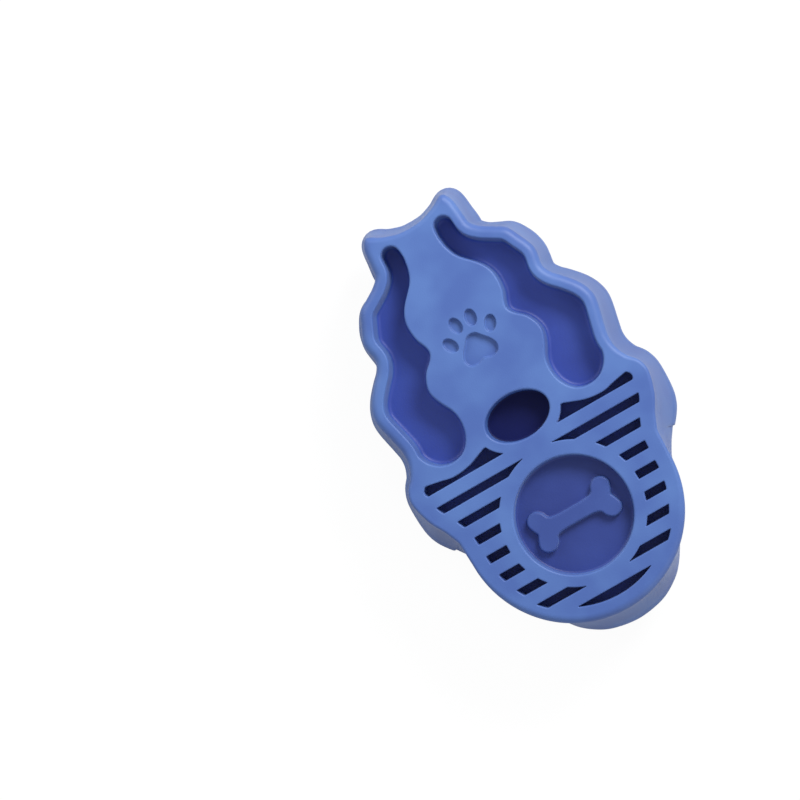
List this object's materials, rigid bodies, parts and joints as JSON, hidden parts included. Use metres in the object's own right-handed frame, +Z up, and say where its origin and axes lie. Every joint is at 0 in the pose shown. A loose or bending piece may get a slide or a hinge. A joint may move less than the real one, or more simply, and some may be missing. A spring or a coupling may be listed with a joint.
{
  "type": "rubber curry brush",
  "caption": "Rubber curry brush: scalloped slotted deck with two finger pockets, flared skirt wall and staggered conical massage teeth underneath.",
  "frame": {"origin": "middle of the footprint, at the level of the tooth tips that the brush rests on", "axes": "+Z up through the deck, +Y along the brush towards its horned end, +X across it"},
  "size_m": [0.0728, 0.1184, 0.032],
  "materials": {
    "blue_rubber": "soft satin moulded rubber"
  },
  "bodies": {
    "root": {"skirt": "blue_rubber", "base_web": "blue_rubber", "grip_island": "blue_rubber", "grille_plate": "blue_rubber", "medallion_panel": "blue_rubber", "oval_panel": "blue_rubber", "tooth_01": "blue_rubber", "tooth_02": "blue_rubber", "tooth_03": "blue_rubber", "tooth_04": "blue_rubber", "tooth_05": "blue_rubber", "tooth_06": "blue_rubber", "tooth_07": "blue_rubber", "tooth_08": "blue_rubber", "tooth_09": "blue_rubber", "tooth_10": "blue_rubber", "tooth_11": "blue_rubber", "tooth_12": "blue_rubber", "tooth_13": "blue_rubber", "tooth_14": "blue_rubber", "tooth_15": "blue_rubber", "tooth_16": "blue_rubber", "tooth_17": "blue_rubber", "tooth_18": "blue_rubber", "tooth_19": "blue_rubber", "tooth_20": "blue_rubber", "tooth_21": "blue_rubber", "tooth_22": "blue_rubber", "tooth_23": "blue_rubber", "tooth_24": "blue_rubber"}
  },
  "joints": []
}
